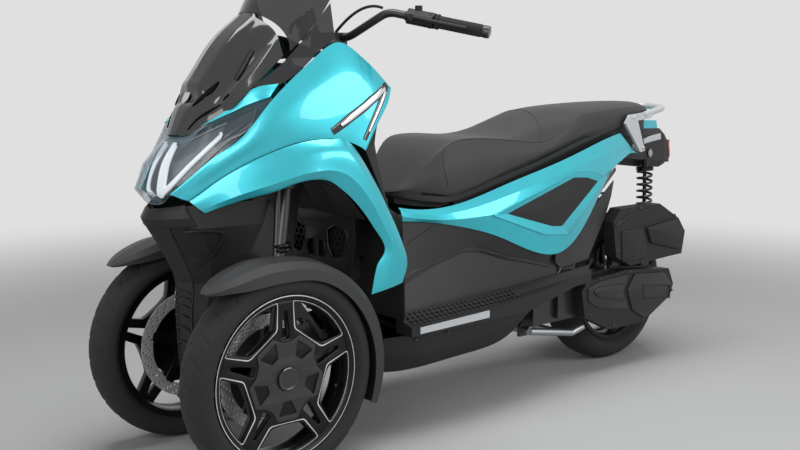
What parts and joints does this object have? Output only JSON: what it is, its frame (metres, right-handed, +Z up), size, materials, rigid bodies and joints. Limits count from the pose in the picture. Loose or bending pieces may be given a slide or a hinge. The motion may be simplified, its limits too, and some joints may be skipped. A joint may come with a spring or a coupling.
{
  "type": "reverse trike",
  "caption": "Leaning scooter with two steered front wheels side by side, one driven rear wheel, a stepped dual seat, windscreen and grab rail.",
  "frame": {"origin": "on the floor, midway along the vehicle and across it", "axes": "+X forward, +Y to the rider's left, +Z up"},
  "size_m": [2.1, 0.8246, 1.35],
  "materials": {
    "paint_turquoise": "metallic gloss",
    "gloss_black": "gloss",
    "matte_black": "matt",
    "matte_grey": "satin",
    "rim_black": "gloss",
    "tyre_rubber": "matt",
    "grip_rubber": "knurled",
    "steel": "ground",
    "cast_alloy": "satin",
    "black_steel": "satin",
    "chrome": "polished",
    "silver_paint": "satin",
    "screen_tint": "smoked",
    "lens_clear": "clear",
    "lamp_grey": "satin",
    "lamp_red": "gloss",
    "seat_cover": "grained"
  },
  "bodies": {
    "chassis": {"frame": "black_steel", "suspension_arms": "black_steel", "front_dampers": "chrome", "nose_cowl": "gloss_black", "windscreen": "screen_tint", "headlamp_lens": "lens_clear", "headlamp_housing": "lamp_grey", "chin_fairing": "matte_black", "front_fairing": "paint_turquoise", "arch_panels": "paint_turquoise", "side_lamps": "lamp_grey", "inner_shield": "matte_black", "dashboard": "matte_black", "radiator": "cast_alloy", "arch_liner": "matte_black", "tunnel": "matte_grey", "footboards": "matte_grey", "sill_trims": "silver_paint", "belly_pan": "gloss_black", "side_panels": "paint_turquoise", "side_inserts": "matte_grey", "rear_covers": "matte_grey", "tail_cowl": "paint_turquoise", "tail_housing": "matte_black", "tail_lamp": "lamp_red", "grab_rail": "silver_paint", "rear_shocks": "black_steel", "engine": "black_steel", "transmission_cover": "matte_black", "air_box": "matte_black", "silencer": "black_steel", "storage_bin": "matte_black"},
    "handlebar": {"handlebar": "black_steel", "grips": "grip_rubber", "switchgear": "matte_black", "brake_hoses": "grip_rubber"},
    "knuckle_left": {"knuckle_left": "black_steel", "front_fender_left": "matte_grey"},
    "knuckle_right": {"knuckle_right": "black_steel", "front_fender_right": "matte_grey"},
    "wheel_front_left": {"front_tyre_left": "tyre_rubber", "front_rim_left": "rim_black", "front_disc_left": "steel"},
    "wheel_front_right": {"front_tyre_right": "tyre_rubber", "front_rim_right": "rim_black", "front_disc_right": "steel"},
    "wheel_rear": {"rear_tyre": "tyre_rubber", "rear_rim": "rim_black"},
    "seat": {"seat": "seat_cover", "seat_pan": "matte_black"},
    "centre_stand": {"centre_stand": "black_steel"}
  },
  "joints": [
    {"name": "steer", "type": "hinge", "parent": "chassis", "child": "handlebar", "pos_m": [0.43, 0, 1.09], "axis": [-0.4384, 0, 0.8988], "range_deg": [-35, 35]},
    {"name": "left_knuckle_steer", "type": "hinge", "parent": "chassis", "child": "knuckle_left", "pos_m": [0.78, 0.156, 0.27], "axis": [-0.309, 0, 0.9511], "range_deg": [-28, 28]},
    {"name": "right_knuckle_steer", "type": "hinge", "parent": "chassis", "child": "knuckle_right", "pos_m": [0.78, -0.156, 0.27], "axis": [-0.309, 0, 0.9511], "range_deg": [-28, 28]},
    {"name": "front_left_spin", "type": "hinge", "parent": "knuckle_left", "child": "wheel_front_left", "pos_m": [0.78, 0.24, 0.27], "axis": [0, 1, 0], "continuous": true},
    {"name": "front_right_spin", "type": "hinge", "parent": "knuckle_right", "child": "wheel_front_right", "pos_m": [0.78, -0.24, 0.27], "axis": [0, 1, 0], "continuous": true},
    {"name": "rear_spin", "type": "hinge", "parent": "chassis", "child": "wheel_rear", "pos_m": [-0.78, 0, 0.257], "axis": [0, 1, 0], "continuous": true},
    {"name": "seat_hinge", "type": "hinge", "parent": "chassis", "child": "seat", "pos_m": [0.279, 0, 0.65], "axis": [0, 1, 0], "range_deg": [0, 45]},
    {"name": "stand_hinge", "type": "hinge", "parent": "chassis", "child": "centre_stand", "pos_m": [-0.315, 0, 0.176], "axis": [0, -1, 0], "range_deg": [0, 100]}
  ],
  "couplings": [
    {"joint": "left_knuckle_steer", "follows": "steer", "ratio": 0.8},
    {"joint": "right_knuckle_steer", "follows": "steer", "ratio": 0.8}
  ]
}
